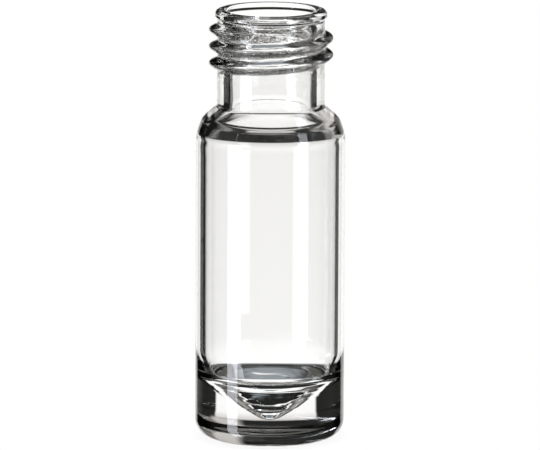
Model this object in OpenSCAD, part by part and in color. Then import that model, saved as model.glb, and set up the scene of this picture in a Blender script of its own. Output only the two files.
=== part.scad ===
// Clear glass sample vial with a screw neck, for a cap or a stopper.
// It is one piece of glass: a heavy base, a cone inside it that gathers the last
// drops, a thin straight wall, a sloping shoulder and a neck with a moulded thread.
// The vial stands upright. Its origin is the centre of the base, at the lowest point.

/* [Body] */
// Outer diameter of the body
body_d = 11.4; // [10.5:0.1:14]
// Height from the base to the top of the rim
height = 33; // [28:0.5:50]
// Thickness of the straight side wall
wall = 0.72; // [0.6:0.01:1]
// Radius of the heel, where the side turns into the base
heel_radius = 1.37; // [0.8:0.01:1.5]

/* [Base] */
// Diameter of the shallow hollow under the base, inside the standing ring
dish_d = 7.4; // [4:0.1:7.8]
// Depth of that hollow at its centre
dish_depth = 0.26; // [0.1:0.02:0.8]

/* [Inner cone] */
// Height of the tip of the cone above the base
tip_z = 1.6; // [1.1:0.01:2.2]
// Diameter of the tip of the cone
tip_d = 0.68; // [0.3:0.02:1.3]
// Radius between the tip and the side of the cone
tip_radius = 0.2; // [0.05:0.01:0.3]
// How far the ledge, where the cone meets the thick lower wall, lies inside the
// straight wall's inner radius
ledge_inset = 0.23; // [0.02:0.01:0.6]
// Height of that ledge
ledge_z = 4.77; // [4.4:0.01:5.4]
// Radius of that ledge
ledge_radius = 1.18; // [0.15:0.01:1.6]
// Where the side of the cone bends, as a share of the ledge's radius
knee_share = 0.74; // [0.3:0.001:0.85]
// How far that bend lies below the ledge
knee_drop = 0.62; // [0.3:0.01:2]
// Radius of that bend
knee_radius = 1.01; // [0.3:0.01:2]
// Height at which the wall begins to thicken
swell_z = 6.39; // [6:0.01:9]
// Radius from the straight wall to the thick one
swell_radius = 6; // [1:0.1:12]

/* [Shoulder] */
// Height of the outer shoulder, from the body to the neck
shoulder_h = 2.25; // [2:0.01:3]
// How far the brow of the shoulder lies inside the body's radius
brow_inset = 0.48; // [0.3:0.01:0.55]
// Height of that brow above the body
brow_rise = 1.33; // [0.9:0.01:1.4]
// Radius of the brow
brow_radius = 0.85; // [0.3:0.01:0.95]
// Radius from the body to the shoulder
shoulder_radius = 3.5; // [1:0.01:4]
// Radius from the shoulder to the neck
throat_radius = 0.41; // [0.1:0.01:0.8]

/* [Inner shoulder] */
// Where the side wall meets the shoulder inside, above the top of the straight body
roof_rise = -0.04; // [-0.6:0.01:0.8]
// Radius there
roof_radius = 0.8; // [0.3:0.01:1.5]
// Middle corner inside the shoulder, above the top of the straight body
crown_rise = 0.66; // [0.5:0.01:1.6]
// Its place from the waist to the side wall, as a share
crown_share = 0.747; // [0.2:0.001:0.85]
// Radius of that corner
crown_radius = 0.4; // [0.1:0.01:0.9]
// Diameter of the waist, where the bore is narrowest
waist_d = 6.16; // [5:0.02:6.16]
// Height of the waist above the foot of the neck
waist_rise = -0.22; // [-0.6:0.01:0.6]
// Radius of the waist
waist_radius = 1.15; // [0.2:0.01:1.5]
// Height over which the waist widens to the bore
waist_h = 2.42; // [0.4:0.01:3]
// Radius from that taper to the bore
waist_fade = 3.9; // [0.2:0.01:4]

/* [Neck] */
// Length of the neck, from the shoulder to the top of the rim
neck_h = 7.36; // [6.5:0.01:10]
// Outer diameter of the neck
neck_d = 8.18; // [7.6:0.01:8.6]
// Diameter of the bore
bore_d = 6.24; // [5.8:0.02:6.4]

/* [Rim] */
// Outer diameter of the rim
rim_d = 8.54; // [8.3:0.02:9]
// Height of the rim's bead above the slope under it
rim_h = 0.5; // [0.4:0.05:1]
// Radius of the rim's outer edge
rim_radius = 0.32; // [0.1:0.02:0.36]
// Diameter of the mouth, where the bore flares into the rim
mouth_d = 6.8; // [6.5:0.05:7.2]
// Height of that flare
flare_h = 0.95; // [0.6:0.05:1.4]
// Radius from the bore to the flare
flare_radius = 1.2; // [0.4:0.1:2]
// Radius of the mouth's edge
mouth_radius = 0.26; // [0.1:0.02:0.3]

/* [Thread] */
// Diameter over the thread
thread_d = 9.5; // [9:0.05:10]
// Rise of the thread in one turn
thread_pitch = 1.29; // [1.2:0.01:1.6]
// Width of the ridge at the neck
thread_w = 1.16; // [0.8:0.02:1.2]
// Number of turns
thread_turns = 2.45; // [1:0.05:3]
// Depth of the ridge's upper end below the top of the rim
thread_drop = 1.31; // [1.3:0.05:2.5]
// Angle of the ridge's upper end round the axis
thread_start = 252; // [0:6:360]
// Angle over which each end of the ridge fades into the neck
thread_fade = 36; // [15:5:90]

/* [Hidden] */

// Number of sides of the circles on screen
$fn = 128;
// Lengths that make one solid reach past a face of another
overlap = 1;
// Depth to which the ridge's root is sunk in the neck
sink = 0.15;
// Steps of the ridge in one turn, and points across it
steps_per_turn = 48;
ridge_points = 7;
// Share of the ridge's height at its very ends, low enough to be inside the neck
fade_floor = 0.1;
// How far the crest lies above the middle of the ridge, as a share of its width
crest_lift = 0.06;

body_r = body_d / 2;
neck_r = neck_d / 2;
bore_r = bore_d / 2;
rim_r = rim_d / 2;
mouth_r = mouth_d / 2;
inner_r = body_r - wall;
tip_r = tip_d / 2;
ledge_r = inner_r - ledge_inset;
knee_r = ledge_r * knee_share;
knee_z = ledge_z - knee_drop;
waist_r = waist_d / 2;
crown_r = waist_r + (inner_r - waist_r) * crown_share;

// Heights of the outer corners
throat_z = height - neck_h;
body_top_z = throat_z - shoulder_h;
brow_r = body_r - brow_inset;
brow_z = body_top_z + brow_rise;

// Heights of the inner corners of the shoulder and the waist
roof_z = body_top_z + roof_rise;
crown_z = body_top_z + crown_rise;
waist_z = throat_z + waist_rise;

// Height of the slope under the rim's bead, which stands at 45 degrees
rim_step = abs(rim_r - neck_r);

// Corners of the outside: radius, height, rounding
outer_corners = [
    [0, 0, 0],
    [body_r, 0, heel_radius],
    [body_r, body_top_z, shoulder_radius],
    [brow_r, brow_z, brow_radius],
    [neck_r, throat_z, throat_radius],
    [neck_r, height - rim_h - rim_step, 0],
    [rim_r, height - rim_h, 0],
    [rim_r, height, rim_radius],
    [0, height, 0]
];

// Corners of the hollow, which runs out through the top
inner_corners = [
    [0, tip_z, 0],
    [tip_r, tip_z, tip_radius],
    [knee_r, knee_z, knee_radius],
    [ledge_r, ledge_z, ledge_radius],
    [inner_r, swell_z, swell_radius],
    [inner_r, roof_z, roof_radius],
    [crown_r, crown_z, crown_radius],
    [waist_r, waist_z, waist_radius],
    [bore_r, waist_z + waist_h, waist_fade],
    [bore_r, height - flare_h, flare_radius],
    [mouth_r, height, mouth_radius],
    [rim_r - rim_radius, height, 0],
    [rim_r - rim_radius, height + overlap, 0],
    [0, height + overlap, 0]
];

function unit(v) = v / norm(v);
function flat(p) = [p.x, p.y];

// Directions from a corner to the corners before and after it
function back(c, i) = unit(flat(c[(i + len(c) - 1) % len(c)]) - flat(c[i]));
function ahead(c, i) = unit(flat(c[(i + 1) % len(c)]) - flat(c[i]));
function half_angle(c, i) = acos(back(c, i) * ahead(c, i)) / 2;

// A left turn is an outward corner, because the outlines run anticlockwise
function outward(c, i) = cross(back(c, i), ahead(c, i)) < 0;
function reach(c, i) = c[i].z / tan(half_angle(c, i));
function centre(c, i) =
    flat(c[i]) + unit(back(c, i) + ahead(c, i)) * c[i].z / sin(half_angle(c, i));

// Outline points at a corner: the corner itself, or where its arc begins and ends
function corner_points(c, i) =
    c[i].z == 0 ? [flat(c[i])] :
    outward(c, i) ?
        [flat(c[i]) + back(c, i) * reach(c, i), flat(c[i]) + ahead(c, i) * reach(c, i)] :
        [flat(c[i]) + back(c, i) * reach(c, i), centre(c, i), flat(c[i]) + ahead(c, i) * reach(c, i)];

// Outline through corners with true arcs: discs fill the outward ones and are
// cut from the inward ones, and nothing crosses the axis
module outline(c) {
    difference() {
        union() {
            polygon([for (i = [0 : len(c) - 1]) each corner_points(c, i)]);
            for (i = [0 : len(c) - 1])
                if (c[i].z > 0 && outward(c, i))
                    intersection() {
                        translate(centre(c, i)) circle(r = c[i].z);
                        square([body_d, height + overlap]);
                    }
        }
        for (i = [0 : len(c) - 1])
            if (c[i].z > 0 && !outward(c, i))
                translate(centre(c, i)) circle(r = c[i].z);
    }
}

// Disc that cuts the shallow dome under the base
module dish() {
    dome_r = (pow(dish_d / 2, 2) + pow(dish_depth, 2)) / (2 * dish_depth);
    translate([0, dish_depth - dome_r]) circle(r = dome_r);
}

// The glass on one side of the axis, from the tip of the cone to the mouth
module wall_section() {
    difference() {
        outline(outer_corners);
        outline(inner_corners);
        dish();
    }
}

// Share of its full height that the ridge has at a turn, counted from its upper end
function fade(turn) =
    let (to_end = min(turn, thread_turns - turn) * 360)
    fade_floor + (1 - fade_floor) * sin(90 * min(1, to_end / thread_fade));

// Point of the ridge: across runs from -0.5 at its lower foot to 0.5 at its upper one
function ridge_point(turn, across) =
    let (
        swell = cos(180 * across),
        r = neck_r - sink + (thread_d / 2 - neck_r + sink) * fade(turn) * swell,
        angle = thread_start - 360 * turn,
        z = height - thread_drop - thread_pitch * turn
            + thread_w * (across + crest_lift * swell)
    )
    [r * cos(angle), r * sin(angle), z];

// Raised ridge that winds round the neck and fades into it at both ends
module thread() {
    steps = ceil(thread_turns * steps_per_turn);
    last = ridge_points - 1;
    points = [
        for (i = [0 : steps], k = [0 : last])
            ridge_point(thread_turns * i / steps, k / last - 0.5)
    ];
    sides = [
        for (i = [0 : steps - 1], k = [0 : last])
            let (
                a = i * ridge_points + k,
                b = i * ridge_points + (k + 1) % ridge_points
            )
            each [[b, a, b + ridge_points], [b + ridge_points, a, a + ridge_points]]
    ];
    first_end = [for (k = [0 : last]) k];
    last_end = [for (k = [last : -1 : 0]) steps * ridge_points + k];
    polyhedron(points, concat([first_end], sides, [last_end]));
}

module vial() {
    color([0.86, 0.9, 0.89, 0.5]) {
        rotate_extrude() wall_section();
        thread();
    }
}

vial();
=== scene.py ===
import math

import bpy
import numpy as np
from bpy.props import FloatProperty, FloatVectorProperty, IntProperty, PointerProperty
from bpy.types import Operator, Panel, PropertyGroup
from mathutils import Matrix, Vector


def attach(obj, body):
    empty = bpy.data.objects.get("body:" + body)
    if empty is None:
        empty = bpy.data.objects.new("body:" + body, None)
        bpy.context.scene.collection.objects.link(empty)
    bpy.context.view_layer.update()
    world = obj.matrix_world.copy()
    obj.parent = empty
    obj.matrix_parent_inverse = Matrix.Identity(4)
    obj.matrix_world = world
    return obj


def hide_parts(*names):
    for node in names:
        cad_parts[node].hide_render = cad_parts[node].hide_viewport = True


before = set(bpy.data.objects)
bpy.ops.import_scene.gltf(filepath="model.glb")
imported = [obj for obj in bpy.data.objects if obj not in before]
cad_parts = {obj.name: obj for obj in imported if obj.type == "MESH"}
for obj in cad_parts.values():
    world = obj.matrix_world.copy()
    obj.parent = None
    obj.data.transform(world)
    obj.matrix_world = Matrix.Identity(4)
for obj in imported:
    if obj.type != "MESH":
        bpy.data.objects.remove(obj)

bl_info = {
    "name": "Glass Sample Vial",
    "version": (1, 0, 0),
    "blender": (4, 5, 0),
    "location": "View3D > Sidebar > Vial",
    "description": "Models a clear glass sample vial with a moulded thread, and its white studio",
    "category": "Add Mesh",
}

MM = 0.001
DEGREE = math.radians(1)
CAD_NODE = "vial"
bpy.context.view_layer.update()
PHOTO_WIDTH = 540
PHOTO_HEIGHT = 450

# Fewest pieces of a rounding, and the most that one piece of it turns
ARC_PIECES = 4
ARC_TURN = 7 * DEGREE
# Points from the middle of the dish under the base to its edge
DISH_POINTS = 10
# Share of its full height that the thread has at its very ends
FADE_FLOOR = 0.1
# Rounds after which the leaning crest of the thread has settled
CREST_ROUNDS = 6
# How near a drawn point, and a point of the mesh, is to what it lies on
DRAWN_NEAR = 1e-8
MESH_NEAR = 2e-7
MERGE_NEAR = 1e-7
# Floor: its size in metres, and how far it lies below the glass
FLOOR_RADIUS = 2
FLOOR_EDGES = 96
FLOOR_GAP = 0.02 * MM
WHITE = (1, 1, 1, 1)
# Counts of a light path, halfway between two whole numbers: no reflection yet, and more
# than the two faces that light passes in solid glass
ONE_REFLECTION = 0.5
HOLLOW_FACES = 2.5


def length(name, description, millimetres):
    """A length that a user may change, kept in metres."""
    return FloatProperty(
        name=name,
        description=description,
        default=millimetres * MM,
        unit="LENGTH",
        precision=5,
    )


def angle(name, description, degrees):
    """An angle that a user may change, kept in radians."""
    return FloatProperty(
        name=name,
        description=description,
        default=math.radians(degrees),
        subtype="ANGLE",
    )


def share(name, description, value):
    """A plain number without a unit."""
    return FloatProperty(name=name, description=description, default=value)


def stretch(name, description, value):
    """How fine a ripple is along X, Y and Z, in ripples to the metre."""
    return FloatVectorProperty(name=name, description=description, default=value, size=3)


def colour(name, description, value):
    """A colour or the brightness of a light, which may be more than 1."""
    return FloatVectorProperty(
        name=name,
        description=description,
        default=value,
        size=3,
        subtype="COLOR",
        soft_max=10,
    )


def patch(name, description, degrees):
    """Left, right, low and high edge of a patch of light, kept in radians."""
    return FloatVectorProperty(
        name=name,
        description=description,
        default=[math.radians(edge) for edge in degrees],
        size=4,
        unit="ROTATION",
    )


class VialBody(PropertyGroup):
    """Outside of the glass, from its base to its shoulder."""

    height: length("Height", "From the base to the top of the rim", 33)
    radius: length("Radius", "Outside of the straight body", 5.7)
    wall: length("Wall", "Thickness of the straight wall", 0.72)
    heel_round: length("Heel", "Rounding from the side to the base", 1.37)
    dish_radius: length("Dish radius", "Shallow hollow under the base", 3.7)
    dish_depth: length("Dish depth", "Depth of that hollow at its centre", 0.26)
    shoulder_height: length("Shoulder height", "From the body to the neck", 2.25)
    shoulder_round: length("Shoulder rounding", "From the body to the shoulder", 3.5)
    brow_inset: length("Brow inset", "Brow of the shoulder inside the body's radius", 0.48)
    brow_rise: length("Brow rise", "Height of the brow above the body", 1.33)
    brow_round: length("Brow rounding", "Rounding of the brow", 0.85)
    throat_round: length("Throat rounding", "From the shoulder to the neck", 0.41)


class VialInside(PropertyGroup):
    """Inside of the glass, from the tip of the cone to the waist under the neck."""

    tip_height: length("Tip height", "Lowest point of the inside", 1.6)
    tip_radius: length("Tip radius", "Flat at the tip of the inner cone", 0.34)
    tip_round: length("Tip rounding", "From the tip to the cone", 0.9)
    knee_radius: length("Knee radius", "Where the side of the cone bends", 3.515)
    knee_height: length("Knee height", "Height of that bend", 4.15)
    knee_round: length("Knee rounding", "Rounding of that bend", 1.01)
    ledge_radius: length("Ledge radius", "Where the cone meets the thick lower wall", 4.75)
    ledge_height: length("Ledge height", "Height of that ledge", 4.77)
    ledge_round: length("Ledge rounding", "From the cone to the lower wall", 1.18)
    swell_height: length("Swell height", "Where the wall begins to thicken", 6.39)
    swell_round: length("Swell rounding", "From the straight wall to the thick one", 6)
    roof_rise: length("Roof rise", "Side wall to shoulder, above the straight body", -0.04)
    roof_round: length("Roof rounding", "Rounding there", 0.8)
    crown_rise: length("Crown rise", "Middle corner of the shoulder, above the straight body", 0.66)
    crown_share: share("Crown share", "Its place from the waist to the side wall", 0.747)
    crown_round: length("Crown rounding", "Rounding of that corner", 0.4)
    waist_radius: length("Waist radius", "Narrowest place of the bore", 3.08)
    waist_rise: length("Waist rise", "Waist above the foot of the neck", -0.22)
    waist_round: length("Waist rounding", "Rounding of the waist", 1.15)
    waist_height: length("Waist height", "Height over which the waist widens to the bore", 2.42)
    waist_fade: length("Waist fade", "Rounding from that taper to the bore", 3.9)


class VialNeck(PropertyGroup):
    """The neck and its rim."""

    length: length("Neck length", "From the shoulder to the top of the rim", 7.36)
    radius: length("Neck radius", "Outside of the neck", 4.09)
    bore_radius: length("Bore radius", "Inside of the neck", 3.12)
    rim_radius: length("Rim radius", "Outside of the rim", 4.27)
    rim_height: length("Rim height", "Height of the rim's bead above the slope under it", 0.5)
    slope_round: length("Slope rounding", "From the neck to the slope under the bead", 0.12)
    bead_round: length("Bead rounding", "From that slope to the bead", 0.08)
    rim_round: length("Rim rounding", "Outer edge of the rim", 0.32)
    mouth_radius: length("Mouth radius", "Opening at the top of the rim", 3.4)
    mouth_round: length("Mouth rounding", "Inner edge of the rim", 0.26)
    flare_height: length("Flare height", "Where the bore begins to open", 0.95)
    flare_round: length("Flare rounding", "From the bore to the flare", 1.2)


class VialThread(PropertyGroup):
    """Sizes of the moulded thread."""

    crest_radius: length("Crest radius", "Outside of the thread", 4.75)
    width: length("Width", "Width of the ridge at its root", 1.16)
    pitch: length("Pitch", "Rise in one turn", 1.29)
    drop: length("Drop", "Upper end below the top of the rim", 1.31)
    root_sink: length("Root sink", "How far the ridge's section reaches into the neck", 0.15)
    blend: length("Blend", "Softness of the ridge's foot", 0.07)
    turns: FloatProperty(name="Turns", description="Number of turns", default=2.45, min=0.5, max=4)
    start: angle("Start", "Angle of the upper end round the axis", 252)
    fade: angle("Fade", "Angle over which each end fades into the neck", 36)
    crest_lift: share("Crest lift", "Crest above the ridge's middle, as a share of its width", 0.06)


class VialMesh(PropertyGroup):
    """Fineness of the mesh."""

    steps: IntProperty(name="Steps", description="Faces round the axis", default=368, min=64, max=512)
    arc_step: length("Arc step", "Longest edge along a rounding", 0.12)
    thread_step: length("Thread step", "Height of one row of faces on the neck", 0.075)
    straight_step: length("Straight step", "Longest edge along a straight wall", 1.2)


class VialFinish(PropertyGroup):
    """Fine relief of the moulded glass."""

    thread_low: length("Thread low", "Lower end of the wrinkled neck, below the rim", 5.3)
    thread_high: length("Thread high", "Upper end of it, below the rim", 0.75)
    skin_inner: length("Skin inner", "Depth in the neck's wall at which wrinkles begin", 0.2)
    skin_outer: length("Skin outer", "Depth in that wall at which they are full", 0.05)
    wrinkle: length("Wrinkle", "Height of the wrinkles along the thread", 0.022)
    wrinkle_scale: stretch("Wrinkle scale", "Fineness of the wrinkles", (900, 900, 3400))
    ring: length("Ring", "Height of the fine rings in the heel", 0.0007)
    ring_scale: stretch("Ring scale", "Fineness by radius, height and nothing", (4200, 4200, 1))
    base_low: length("Base low", "Height up to which the rings are full", 0.9)
    base_high: length("Base high", "Height at which they have faded", 2.2)
    swirl: length("Swirl", "Height of the swirls on the cone", 0.1)
    swirl_scale: stretch("Swirl scale", "Fineness of the swirls", (300, 300, 1500))
    crease: length("Crease", "Height of the crease round the foot of the cone", 0.04)
    crease_inner: length("Crease inner", "Inner radius of that crease", 1.4)
    crease_outer: length("Crease outer", "Outer radius of that crease", 1.5)
    cone_low: length("Cone low", "Lower end of the swirls", 1.5)
    cone_high: length("Cone high", "Upper end of the swirls", 4.4)
    cone_inner: length("Cone inner", "Radius inside which the swirls are full", 4)
    cone_outer: length("Cone outer", "Radius at which they have faded", 4.6)
    ior: share("Refraction", "Refractive index of the glass", 1.5)


class VialCamera(PropertyGroup):
    """The camera, framed as the photograph is."""

    view_height: length("View height", "Height on the axis that the camera looks at", 16.6)
    distance: length("Distance", "Camera to the vial's axis", 600)
    elevation: angle("Elevation", "Camera above the level", 10.35)
    roll: angle("Roll", "Turn of the picture", 0.25)
    pixels_per_mm: share("Scale", "Pixels of the picture for one millimetre at the axis", 13.1)
    axis_x: share("Axis X", "Picture column of the aim", 270.3)
    axis_y: share("Axis Y", "Picture row of the aim", 221.9)


class VialWindow(PropertyGroup):
    """The lit panel behind the vial and the light strips beside the camera."""

    left: angle("Window left", "Left edge of the lit panel behind the vial", -28)
    right: angle("Window right", "Right edge of that panel", 35)
    low: angle("Window low", "Lower edge of that panel", -43)
    foot: angle("Window foot", "Half the width of that panel's narrow foot", 17)
    waist: angle("Window waist", "Upper edge of that foot", -27)
    high: angle("Window high", "Upper edge of that panel", 2)
    light: colour("Window light", "Brightness of that panel, low down", (1.18, 1.18, 1.16))
    dim: colour("Window dim", "Brightness of that panel at its upper edge", (0.62, 0.6, 0.58))
    light_from: angle("Light from", "Height below which that panel is at its full light", -20)
    dim_from: angle("Dim from", "Height above which that panel is dim", 8)
    bench_low: angle("Bench low", "Where the dim bench below the panel has faded out", -60)
    bench_high: angle("Bench high", "Where that bench is at its full light", -46)
    bench_light: colour("Bench light", "Brightness of that bench at the panel", (0.31, 0.345, 0.37))
    key_near: angle("Key near", "Near edge of the left light strip, from the camera's side", 51)
    key_far: angle("Key far", "Far edge of that strip", 69)
    key_light: colour("Key light", "Brightness of that strip", (7.0, 7.2, 7.8))
    fill_near: angle("Fill near", "Near edge of the right light strip", 37.4)
    fill_far: angle("Fill far", "Far edge of that strip", 55.5)
    fill_light: colour("Fill light", "Brightness of that strip", (2.4, 2.4, 2.5))
    strip_low: angle("Strip low", "Lower end of the left strip", -45)
    fill_low: angle("Fill low", "Lower end of the right strip", -11.35)
    strip_high: angle("Strip high", "Upper end of both strips", 6)


class VialRoom(PropertyGroup):
    """The room by direction: azimuth 0 is behind the vial and grows to the right."""

    dark: colour("Dark", "The dark room round the panel", (0.01, 0.011, 0.01))
    dark_left: angle("Dark left", "Left edge of that dark room", -76)
    dark_right: angle("Dark right", "Right edge of it", 62)
    dark_high: angle("Dark high", "Upper edge of it", 34)
    side: colour("Side", "The dim room at the sides", (0.11, 0.108, 0.1))
    slot: patch("Slot", "A gap as dim as the sides, over the panel", (-12, 32, 24, 36))
    above: colour("Above", "The room over the panel", (0.36, 0.35, 0.33))
    above_left: angle("Above left", "Left edge of it", -48)
    above_right: angle("Above right", "Right edge of it", 44)
    above_low: angle("Above low", "Lower edge of it", 42)
    ground: colour("Ground", "The floor on the camera's side", (0.14, 0.14, 0.135))
    ground_near: angle("Ground near", "Azimuth at which that floor begins", 90)
    ground_full: angle("Ground full", "Azimuth from which it is at its full light", 115)
    ground_high: angle("Ground high", "Upper edge of it", -24)
    wall: patch("Wall", "The pale wall behind the left strip", (-145, -96, -8, 24))
    wall_light: colour("Wall light", "Brightness of that wall", (0.3, 0.3, 0.31))
    table: patch("Table", "The lit table under the left strip", (-170, -95, -76, -20))
    table_light: colour("Table light", "Brightness of that table", (0.6, 0.6, 0.6))
    upper: patch("Upper", "The room on the upper right", (38, 84, 6, 37))
    upper_light: colour("Upper light", "Brightness there", (0.22, 0.21, 0.19))
    glow: patch("Glow", "The pale wall over the panel's right edge", (17, 39, 2, 31))
    glow_light: colour("Glow light", "Brightness of that wall", (0.6, 0.58, 0.55))
    backdrop_beside: angle("Backdrop beside", "Where other views' backdrop begins, for hollow glass", 60)
    backdrop_near: angle("Backdrop near", "Where that backdrop begins, for solid glass", 78)
    backdrop_full: angle("Backdrop full", "Where that backdrop is fully white", 100)
    backdrop_light: colour("Backdrop light", "Brightness of that backdrop", (1.0, 1.0, 0.99))
    # Painted contact shadow on the floor: its width, and how light the floor stays inside it.
    contact_shadow: length("Contact", "Width of the soft dark line where the glass stands", 0.9)
    contact_shadow_tone: share("Contact tone", "How light the floor is in that line", 0.93)


def unit(v):
    return v / np.linalg.norm(v)


def rounded(corners, arc_step):
    """Outline points through corners (radius, height, rounding), each rounding a true arc."""
    points = []
    last = len(corners) - 1
    for i, (radius, height, rounding) in enumerate(corners):
        corner = np.array([radius, height])
        if rounding == 0 or i in (0, last):
            points.append(corner)
            continue
        back = unit(np.array(corners[i - 1][:2]) - corner)
        ahead = unit(np.array(corners[i + 1][:2]) - corner)
        half = math.acos(float(np.clip(back @ ahead, -1, 1))) / 2
        centre = corner + unit(back + ahead) * rounding / math.sin(half)
        first = corner + back * rounding / math.tan(half) - centre
        final = corner + ahead * rounding / math.tan(half) - centre
        begin = math.atan2(first[1], first[0])
        sweep = math.atan2(final[1], final[0]) - begin
        sweep = (sweep + math.pi) % math.tau - math.pi
        by_length = int(abs(sweep) * rounding / arc_step)
        by_turn = int(abs(sweep) / ARC_TURN)
        pieces = max(ARC_PIECES, by_length, by_turn)
        for done in np.linspace(0, 1, pieces + 1):
            turn = begin + sweep * done
            points.append(centre + rounding * np.array([math.cos(turn), math.sin(turn)]))
    return points


def glass_corners(scene):
    """Corners of the glass from the middle of the dish, up the outside and down the inside."""
    body = scene.vial_body
    inside = scene.vial_inside
    neck = scene.vial_neck
    top = body.height
    throat = top - neck.length
    body_top = throat - body.shoulder_height
    bead = top - neck.rim_height
    inner = body.radius - body.wall
    waist = throat + inside.waist_rise
    crown = inside.waist_radius + (inner - inside.waist_radius) * inside.crown_share
    dish = [
        (body.dish_radius * out, body.dish_depth * (1 - out * out), 0)
        for out in np.linspace(0, 1, DISH_POINTS)
    ]
    outside = [
        (body.radius, 0, body.heel_round),
        (body.radius, body_top, body.shoulder_round),
        (body.radius - body.brow_inset, body_top + body.brow_rise, body.brow_round),
        (neck.radius, throat, body.throat_round),
        (neck.radius, bead + neck.radius - neck.rim_radius, neck.slope_round),
        (neck.rim_radius, bead, neck.bead_round),
        (neck.rim_radius, top, neck.rim_round),
    ]
    hollow = [
        (neck.mouth_radius, top, neck.mouth_round),
        (neck.bore_radius, top - neck.flare_height, neck.flare_round),
        (neck.bore_radius, waist + inside.waist_height, inside.waist_fade),
        (inside.waist_radius, waist, inside.waist_round),
        (crown, body_top + inside.crown_rise, inside.crown_round),
        (inner, body_top + inside.roof_rise, inside.roof_round),
        (inner, inside.swell_height, inside.swell_round),
        (inside.ledge_radius, inside.ledge_height, inside.ledge_round),
        (inside.knee_radius, inside.knee_height, inside.knee_round),
        (inside.tip_radius, inside.tip_height, inside.tip_round),
        (0, inside.tip_height, 0),
    ]
    return dish + outside + hollow


def glass_outline(scene):
    """Outline points, with rows close together on the neck for the thread."""
    fine = scene.vial_mesh
    neck_radius = scene.vial_neck.radius
    points = rounded(glass_corners(scene), fine.arc_step)
    outline = [points[0]]
    for start, end in zip(points, points[1:]):
        on_neck = max(abs(start[0] - neck_radius), abs(end[0] - neck_radius)) < DRAWN_NEAR
        step = fine.thread_step if on_neck else fine.straight_step
        pieces = max(1, math.ceil(float(np.linalg.norm(end - start)) / step))
        outline += [start + (end - start) * k / pieces for k in range(1, pieces + 1)]
    return outline


def ridge_height(scene, around, height):
    """How far the thread stands proud of the neck, at angles and heights given as arrays."""
    thread = scene.vial_thread
    neck_radius = scene.vial_neck.radius
    upper_end = scene.vial_body.height - thread.drop
    proud = np.full(around.shape, -thread.root_sink)
    first_turn = ((thread.start - around) % math.tau) / math.tau
    for extra in range(math.ceil(thread.turns)):
        turn = first_turn + extra
        middle = upper_end - thread.pitch * turn
        away = (height - middle) / thread.width
        across = away
        for _ in range(CREST_ROUNDS):
            across = away - thread.crest_lift * np.cos(math.pi * np.clip(across, -0.5, 0.5))
        swell = np.cos(math.pi * np.clip(across, -0.5, 0.5))
        to_end = np.minimum(turn, thread.turns - turn) * math.tau
        risen = np.sin(math.pi / 2 * np.clip(to_end / thread.fade, 0, 1))
        fade = FADE_FLOOR + (1 - FADE_FLOOR) * risen
        full = thread.crest_radius - neck_radius + thread.root_sink
        ridge = full * fade * swell - thread.root_sink
        proud = np.maximum(proud, np.where(to_end >= 0, ridge, -thread.root_sink))
    level = 0.5 * (math.hypot(thread.root_sink, thread.blend) - thread.root_sink)
    return 0.5 * (proud + np.hypot(proud, thread.blend)) - level


def select_nothing():
    """Leaves every object unselected, so that an operator acts on the new piece alone."""
    if bpy.context.object and bpy.context.object.mode != "OBJECT":
        bpy.ops.object.mode_set(mode="OBJECT")
    bpy.ops.object.select_all(action="DESELECT")


def spin_glass(scene):
    """One closed skin of glass: its outline is drawn point by point and spun round the axis."""
    outline = glass_outline(scene)
    select_nothing()
    bpy.ops.mesh.primitive_plane_add(size=MM, location=(0, 0, 0))
    glass = bpy.context.object
    glass.name = glass.data.name = "vial_glass"
    bpy.ops.object.mode_set(mode="EDIT")
    bpy.ops.mesh.select_all(action="SELECT")
    bpy.ops.mesh.merge(type="CENTER")
    bpy.ops.transform.translate(value=(outline[0][0], 0, outline[0][1]))
    for here, there in zip(outline, outline[1:]):
        move = (there[0] - here[0], 0, there[1] - here[1])
        bpy.ops.mesh.extrude_vertices_move(TRANSFORM_OT_translate={"value": move})
    bpy.ops.mesh.select_all(action="SELECT")
    bpy.ops.mesh.spin(
        steps=scene.vial_mesh.steps,
        angle=math.tau,
        center=(0, 0, 0),
        axis=(0, 0, 1),
    )
    bpy.ops.mesh.select_all(action="SELECT")
    bpy.ops.mesh.remove_doubles(threshold=MERGE_NEAR)
    bpy.ops.mesh.normals_make_consistent(inside=False)
    bpy.ops.object.mode_set(mode="OBJECT")
    bpy.ops.object.shade_smooth()
    return glass


def raise_thread(scene, glass):
    """Pushes the neck's rows out along the helix, which leaves thread and neck one skin."""
    neck_radius = scene.vial_neck.radius
    vertices = glass.data.vertices
    points = np.empty(len(vertices) * 3)
    vertices.foreach_get("co", points)
    points = points.reshape(-1, 3)
    radius = np.hypot(points[:, 0], points[:, 1])
    around = np.arctan2(points[:, 1], points[:, 0])
    on_neck = np.abs(radius - neck_radius) < MESH_NEAR
    proud = ridge_height(scene, around, points[:, 2])
    scale = np.where(on_neck, (neck_radius + proud) / np.maximum(radius, MERGE_NEAR), 1)
    points[:, 0] *= scale
    points[:, 1] *= scale
    vertices.foreach_set("co", points.ravel())
    glass.data.update()


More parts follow.
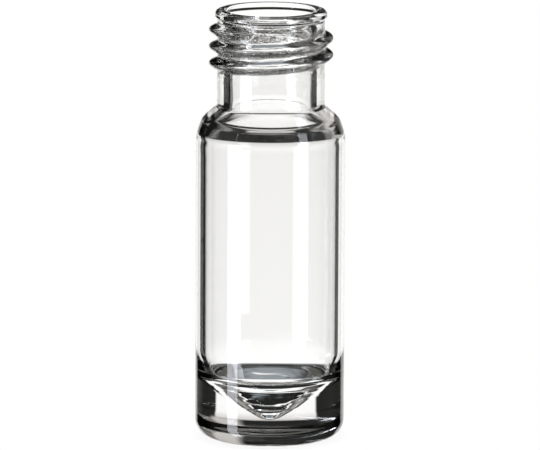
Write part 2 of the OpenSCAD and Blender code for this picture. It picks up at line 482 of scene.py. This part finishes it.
class Nodes:
    """Adds nodes to one tree and wires them, one line a node."""

    def __init__(self, tree):
        self.tree = tree

    def add(self, kind, inputs=None, **settings):
        node = self.tree.nodes.new(kind)
        for name, value in settings.items():
            setattr(node, name, value)
        for key, value in (inputs or {}).items():
            if isinstance(value, bpy.types.NodeSocket):
                self.tree.links.new(value, node.inputs[key])
            else:
                node.inputs[key].default_value = value
        return node

    def math(self, operation, first, second=0.0):
        return self.add("ShaderNodeMath", {0: first, 1: second}, operation=operation).outputs[0]

    def ramp(self, value, low, high):
        """0 below low, 1 above high, smooth between them."""
        inputs = {"Value": value, "From Min": low, "From Max": high}
        node = self.add("ShaderNodeMapRange", inputs, interpolation_type="SMOOTHSTEP")
        return node.outputs["Result"]

    def band(self, value, low, high, soft):
        """1 from low to high, 0 elsewhere, with soft edges."""
        inner = self.ramp(value, low - soft / 2, low + soft / 2)
        outer = self.ramp(value, high + soft / 2, high - soft / 2)
        return self.math("MULTIPLY", inner, outer)

    def mix(self, mask, first, second):
        node = self.add("ShaderNodeMix", data_type="RGBA")
        for key, value in ((0, mask), (6, first), (7, second)):
            if isinstance(value, bpy.types.NodeSocket):
                self.tree.links.new(value, node.inputs[key])
            else:
                node.inputs[key].default_value = value
        return node.outputs[2]


def ripple_group():
    """Height of moulded ripples: noise stretched along the glass, for any piece and scale."""
    group = bpy.data.node_groups.new("moulded_ripple", "ShaderNodeTree")
    for name, kind in (
        ("Vector", "NodeSocketVector"),
        ("Scale", "NodeSocketVector"),
        ("Detail", "NodeSocketFloat"),
        ("Crease", "NodeSocketFloat"),
    ):
        group.interface.new_socket(name, in_out="INPUT", socket_type=kind)
    group.interface.new_socket("Height", in_out="OUTPUT", socket_type="NodeSocketFloat")
    n = Nodes(group)
    given = n.add("NodeGroupInput")
    stretched = n.add(
        "ShaderNodeVectorMath",
        {0: given.outputs["Vector"], 1: given.outputs["Scale"]},
        operation="MULTIPLY",
    )
    soft = n.add(
        "ShaderNodeTexNoise",
        {
            "Vector": stretched.outputs[0],
            "Scale": 1.0,
            "Detail": given.outputs["Detail"],
            "Distortion": 0.6,
        },
    )
    folded = n.math("ABSOLUTE", n.math("SUBTRACT", soft.outputs[0], 0.5))
    creased = n.math("MULTIPLY", folded, given.outputs["Crease"])
    height = n.math("ADD", soft.outputs[0], creased)
    n.add("NodeGroupOutput", {"Height": height})
    return group


def clear_glass(scene):
    """Clear glass with wrinkles along the thread, swirls on the cone and rings in the heel."""
    finish = scene.vial_finish
    neck = scene.vial_neck
    top = scene.vial_body.height
    material = bpy.data.materials.new("clear_glass")
    material.use_nodes = True
    n = Nodes(material.node_tree)
    ripple = ripple_group()
    place = n.add("ShaderNodeTexCoord").outputs["Object"]
    part = n.add("ShaderNodeSeparateXYZ", {"Vector": place})
    height = part.outputs["Z"]
    radius = n.math("SQRT", n.math(
        "ADD",
        n.math("MULTIPLY", part.outputs["X"], part.outputs["X"]),
        n.math("MULTIPLY", part.outputs["Y"], part.outputs["Y"]),
    ))

    def rippled(vector, scale, detail, crease):
        values = {"Vector": vector, "Scale": scale, "Detail": detail, "Crease": crease}
        return n.add("ShaderNodeGroup", values, node_tree=ripple).outputs["Height"]

    on_thread = n.math(
        "MULTIPLY",
        n.band(height, top - finish.thread_low, top - finish.thread_high, soft=0.5 * MM),
        n.ramp(radius, neck.radius - finish.skin_inner, neck.radius - finish.skin_outer),
    )
    wrinkle = rippled(place, finish.wrinkle_scale, detail=3, crease=1.5)
    in_base = n.ramp(height, finish.base_high, finish.base_low)
    by_radius = n.add("ShaderNodeCombineXYZ", {"X": radius, "Y": height, "Z": 0.0})
    ring = rippled(by_radius.outputs[0], finish.ring_scale, detail=2, crease=0.3)
    in_cone = n.math(
        "MULTIPLY",
        n.band(height, finish.cone_low, finish.cone_high, soft=0.4 * MM),
        n.ramp(radius, finish.cone_outer, finish.cone_inner),
    )
    swirl = rippled(place, finish.swirl_scale, detail=1, crease=0.6)
    crease = n.band(radius, finish.crease_inner, finish.crease_outer, soft=0.12 * MM)
    relief = n.math(
        "ADD",
        n.math("MULTIPLY", n.math("MULTIPLY", wrinkle, on_thread), finish.wrinkle),
        n.math("MULTIPLY", n.math("MULTIPLY", ring, in_base), finish.ring),
    )
    cone = n.math(
        "ADD",
        n.math("MULTIPLY", swirl, finish.swirl),
        n.math("MULTIPLY", crease, finish.crease),
    )
    relief = n.math("ADD", relief, n.math("MULTIPLY", cone, in_cone))
    bump = n.add("ShaderNodeBump", {"Height": relief, "Strength": 1.0, "Distance": 1.0})
    shader = n.tree.nodes["Principled BSDF"]
    shader.inputs["Base Color"].default_value = WHITE
    shader.inputs["Roughness"].default_value = 0.0
    shader.inputs["IOR"].default_value = finish.ior
    shader.inputs["Transmission Weight"].default_value = 1.0
    n.tree.links.new(bump.outputs[0], shader.inputs["Normal"])
    return material


class VIAL_OT_glass(Operator):
    """Models the vial as one piece of clear glass."""

    bl_idname = "vial.glass"
    bl_label = "Model the Glass"

    def execute(self, context):
        scene = context.scene
        glass = spin_glass(scene)
        raise_thread(scene, glass)
        glass.data.materials.append(clear_glass(scene))
        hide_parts(CAD_NODE)
        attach(glass, "root")
        return {"FINISHED"}


def white_floor(room):
    """A white floor with a painted contact shadow: ambient occlusion darkens its colour in a soft line
    where the glass stands on it.
    """
    select_nothing()
    bpy.ops.mesh.primitive_circle_add(
        vertices=FLOOR_EDGES, radius=FLOOR_RADIUS, fill_type="NGON", location=(0, 0, 0)
    )
    floor = bpy.context.object
    floor.name = floor.data.name = "floor"
    material = bpy.data.materials.new("white_floor")
    material.use_nodes = True
    n = Nodes(material.node_tree)
    n.tree.nodes.clear()
    # Painted contact shadow: ambient occlusion mixes the floor's white towards the darker contact tone
    # near the glass.
    contact_shadow = n.add("ShaderNodeAmbientOcclusion", {"Distance": room.contact_shadow}, samples=8)
    shadow_tone = n.mix(contact_shadow.outputs["AO"], (*[room.contact_shadow_tone] * 3, 1), WHITE)
    paper = n.add("ShaderNodeEmission", {"Color": shadow_tone, "Strength": 1.0})
    n.add("ShaderNodeOutputMaterial", {"Surface": paper.outputs[0]})
    floor.data.materials.append(material)
    floor.location.z = -FLOOR_GAP
    floor.visible_transmission = False
    floor.visible_glossy = False
    floor.visible_diffuse = False
    floor.visible_shadow = False


class Sky(Nodes):
    """Adds nodes to a world, with masks by the direction of the light."""

    def __init__(self, tree):
        super().__init__(tree)
        direction = self.add("ShaderNodeTexCoord").outputs["Generated"]
        part = self.add("ShaderNodeSeparateXYZ", {"Vector": direction})
        self.azimuth = self.math("ARCTAN2", part.outputs["X"], part.outputs["Y"])
        self.elevation = self.math("ARCSINE", part.outputs["Z"])
        self.turn = self.math("ABSOLUTE", self.azimuth)

    def patch(self, edges, sides, ends):
        """1 inside the edges, with sides and ends that are soft over so many degrees."""
        left, right, low, high = edges
        return self.math(
            "MULTIPLY",
            self.band(self.azimuth, left, right, sides * DEGREE),
            self.band(self.elevation, low, high, ends * DEGREE),
        )

    def above(self, low, soft):
        """1 over a height, with an edge that is soft over so many degrees."""
        return self.ramp(self.elevation, low - soft / 2 * DEGREE, low + soft / 2 * DEGREE)

    def below(self, high, soft):
        """1 under a height, with an edge that is soft over so many degrees."""
        return self.ramp(self.elevation, high + soft / 2 * DEGREE, high - soft / 2 * DEGREE)

    def paint(self, mask, light, new):
        """The light so far, and a new brightness where the mask is 1."""
        return self.mix(mask, light, (*new, 1))


def room_light(n, room):
    """Dark behind the vial round the panel, dim at the sides, paler patches here and there."""
    dark = n.band(n.azimuth, room.dark_left, room.dark_right, soft=22 * DEGREE)
    lit_side = n.math("SUBTRACT", 1.0, dark)
    ceiling = n.math(
        "MULTIPLY",
        n.band(n.azimuth, room.above_left, room.above_right, soft=16 * DEGREE),
        n.above(room.above_low, soft=12),
    )
    ground = n.math(
        "MULTIPLY",
        n.ramp(n.turn, room.ground_near, room.ground_full),
        n.below(room.ground_high, soft=16),
    )
    light = n.paint(lit_side, (*room.dark, 1), room.side)
    light = n.paint(n.patch(room.wall, sides=12, ends=4), light, room.wall_light)
    light = n.paint(n.above(room.dark_high, soft=8), light, room.side)
    light = n.paint(n.patch(room.slot, sides=8, ends=5), light, room.side)
    light = n.paint(ceiling, light, room.above)
    light = n.paint(ground, light, room.ground)
    light = n.paint(n.patch(room.table, sides=12, ends=4), light, room.table_light)
    light = n.paint(n.patch(room.upper, sides=8, ends=6), light, room.upper_light)
    return n.paint(n.patch(room.glow, sides=8, ends=8), light, room.glow_light)


def window_light(n, light, window):
    """The panel behind the vial with a dim bench below it, and a strip on either side."""
    lying = n.math(
        "MULTIPLY",
        n.ramp(n.elevation, window.bench_low, window.bench_high),
        n.below(window.low, soft=4),
    )
    across = n.band(n.azimuth, -window.foot, window.foot, soft=8 * DEGREE)
    light = n.paint(n.math("MULTIPLY", lying, across), light, window.bench_light)
    panel = n.math(
        "ADD",
        n.patch((window.left, window.right, window.waist, window.high), sides=2.5, ends=4),
        n.patch((-window.foot, window.foot, window.low, window.waist), sides=4, ends=4),
    )
    fall = n.ramp(n.elevation, window.dim_from, window.light_from)
    light = n.mix(panel, light, n.paint(fall, (*window.dim, 1), window.light))
    key_left = window.key_near - math.pi
    key_right = window.key_far - math.pi
    key = (key_left, key_right, window.strip_low, window.strip_high)
    light = n.paint(n.patch(key, sides=1, ends=4), light, window.key_light)
    fill_left = math.pi - window.fill_far
    fill_right = math.pi - window.fill_near
    fill = (fill_left, fill_right, window.fill_low, window.strip_high)
    return n.paint(n.patch(fill, sides=1, ends=0.3), light, window.fill_light)


def backdrop_light(n, light, room, path):
    """The white backdrop of views from the side and from behind, for light that passes
    through the glass and is never reflected. The solid base turns such light further than
    the hollow body does, so the backdrop begins later for it."""
    unreflected = n.math("LESS_THAN", path.outputs["Glossy Depth"], ONE_REFLECTION)
    refracted = n.math("MULTIPLY", path.outputs["Is Transmission Ray"], unreflected)
    hollow = n.math("GREATER_THAN", path.outputs["Transmission Depth"], HOLLOW_FACES)
    beside = n.math("MULTIPLY", n.ramp(n.turn, room.backdrop_beside, room.backdrop_near), hollow)
    behind = n.ramp(n.turn, room.backdrop_near, room.backdrop_full)
    through = n.math("MULTIPLY", refracted, n.math("MAXIMUM", beside, behind))
    return n.paint(through, light, room.backdrop_light)


def studio_world(room, window):
    """Light by direction. What the camera itself sees is plain white."""
    world = bpy.data.worlds.new("studio")
    bpy.context.scene.world = world
    world.use_nodes = True
    world.node_tree.nodes.clear()
    n = Sky(world.node_tree)
    path = n.add("ShaderNodeLightPath")
    light = room_light(n, room)
    light = window_light(n, light, window)
    light = backdrop_light(n, light, room, path)
    lit = n.add("ShaderNodeBackground", {"Color": light, "Strength": 1.0})
    plain = n.add("ShaderNodeBackground", {"Color": WHITE, "Strength": 1.0})
    seen = path.outputs["Is Camera Ray"]
    both = n.add("ShaderNodeMixShader", {0: seen, 1: lit.outputs[0], 2: plain.outputs[0]})
    n.add("ShaderNodeOutputWorld", {"Surface": both.outputs[0]})


def photo_camera(view):
    """Long lens a little above the level, framed as the photograph is."""
    data = bpy.data.cameras.new("camera")
    camera = bpy.data.objects.new("camera", data)
    bpy.context.scene.collection.objects.link(camera)
    aim = Vector((0, 0, view.view_height))
    away = Vector((0, -math.cos(view.elevation), math.sin(view.elevation)))
    camera.location = aim + away * view.distance
    tilt = Matrix.Rotation(math.pi / 2 - view.elevation, 3, "X")
    camera.rotation_euler = (tilt @ Matrix.Rotation(view.roll, 3, "Z")).to_euler()
    data.sensor_fit = "HORIZONTAL"
    data.sensor_width = 36
    data.lens = view.pixels_per_mm * view.distance / MM * data.sensor_width / PHOTO_WIDTH
    data.shift_x = (PHOTO_WIDTH / 2 - view.axis_x) / PHOTO_WIDTH
    data.shift_y = (view.axis_y - PHOTO_HEIGHT / 2) / PHOTO_WIDTH
    data.clip_start = 0.01
    data.clip_end = 10
    bpy.context.scene.camera = camera


class VIAL_OT_stage(Operator):
    """Sets the white floor, the light and the camera."""

    bl_idname = "vial.stage"
    bl_label = "Set the Stage"

    def execute(self, context):
        scene = context.scene
        white_floor(scene.vial_room)
        studio_world(scene.vial_room, scene.vial_window)
        photo_camera(scene.vial_camera)
        scene.view_settings.view_transform = "Standard"
        return {"FINISHED"}


class VIAL_PT_sidebar(Panel):
    """Lists the steps and the sizes in the sidebar."""

    bl_label = "Glass Sample Vial"
    bl_space_type = "VIEW_3D"
    bl_region_type = "UI"
    bl_category = "Vial"

    def draw(self, context):
        layout = self.layout
        for operator in OPERATORS:
            layout.operator(operator.bl_idname)
        for name in SETTINGS:
            settings = getattr(context.scene, name)
            box = layout.box()
            box.label(text=settings.__doc__ or name)
            for prop in settings.bl_rna.properties.keys():
                if prop not in {"rna_type", "name"}:
                    box.prop(settings, prop)


OPERATORS = (VIAL_OT_glass, VIAL_OT_stage)
SETTINGS = {
    "vial_body": VialBody,
    "vial_inside": VialInside,
    "vial_neck": VialNeck,
    "vial_thread": VialThread,
    "vial_mesh": VialMesh,
    "vial_finish": VialFinish,
    "vial_camera": VialCamera,
    "vial_window": VialWindow,
    "vial_room": VialRoom,
}


def register():
    for cls in (*SETTINGS.values(), *OPERATORS, VIAL_PT_sidebar):
        bpy.utils.register_class(cls)
    for name, cls in SETTINGS.items():
        setattr(bpy.types.Scene, name, PointerProperty(type=cls))


def unregister():
    for name in SETTINGS:
        delattr(bpy.types.Scene, name)
    for cls in reversed((*SETTINGS.values(), *OPERATORS, VIAL_PT_sidebar)):
        bpy.utils.unregister_class(cls)


def main():
    register()
    bpy.ops.vial.glass()
    bpy.ops.vial.stage()


if __name__ == "__main__":
    main()
